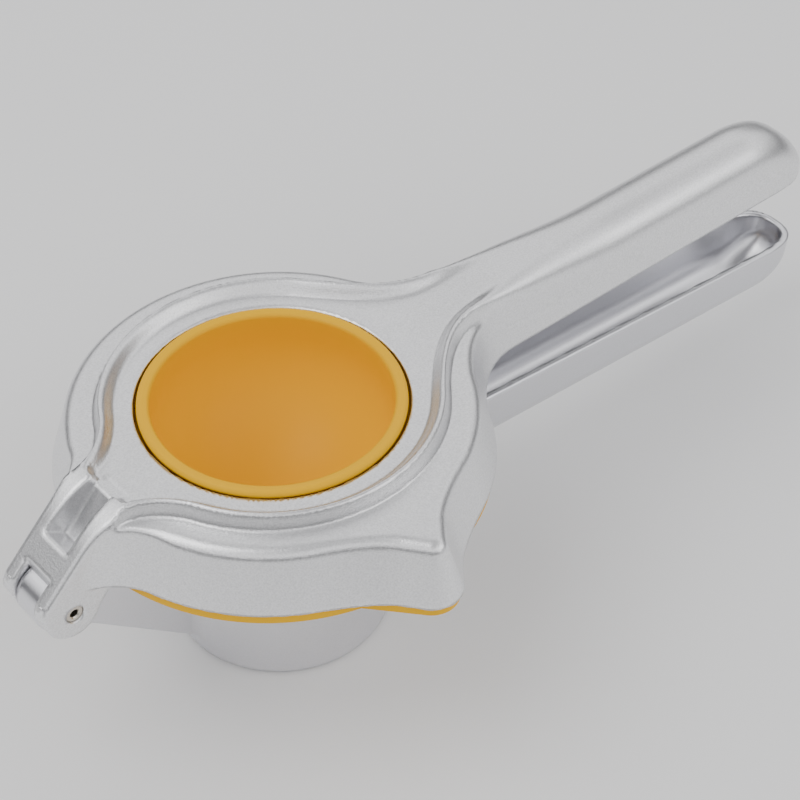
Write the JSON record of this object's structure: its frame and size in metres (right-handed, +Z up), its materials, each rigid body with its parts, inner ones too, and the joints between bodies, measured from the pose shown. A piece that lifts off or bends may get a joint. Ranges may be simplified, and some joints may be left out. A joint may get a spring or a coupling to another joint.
{
  "type": "citrus press juicer",
  "caption": "Hinged hand press for citrus halves: pressing dome in a cast lever, strainer bowl with pouring lip, round-footed juice cup, channel-section handles.",
  "frame": {"origin": "centre of the round foot, on the surface that the press stands on", "axes": "+Z up, +X from the hinge to the handles, pouring spout towards -Y"},
  "size_m": [0.2258, 0.1062, 0.063],
  "materials": {
    "upper_casting": "fine metallic grain, satin",
    "lower_casting": "smooth metallic coat, semi-gloss",
    "yellow_plastic": "glossy moulded plastic",
    "pin_steel": "bare tube end"
  },
  "bodies": {
    "base": {"lower_body": "lower_casting", "strainer_insert": "yellow_plastic"},
    "lever": {"upper_lever": "upper_casting", "press_dome": "yellow_plastic", "hinge_pin": "pin_steel"}
  },
  "joints": [
    {"name": "lever_hinge", "type": "hinge", "parent": "base", "child": "lever", "pos_m": [-0.0574, 0, 0.0405], "axis": [0, -1, 0], "range_deg": [0, 150]}
  ]
}
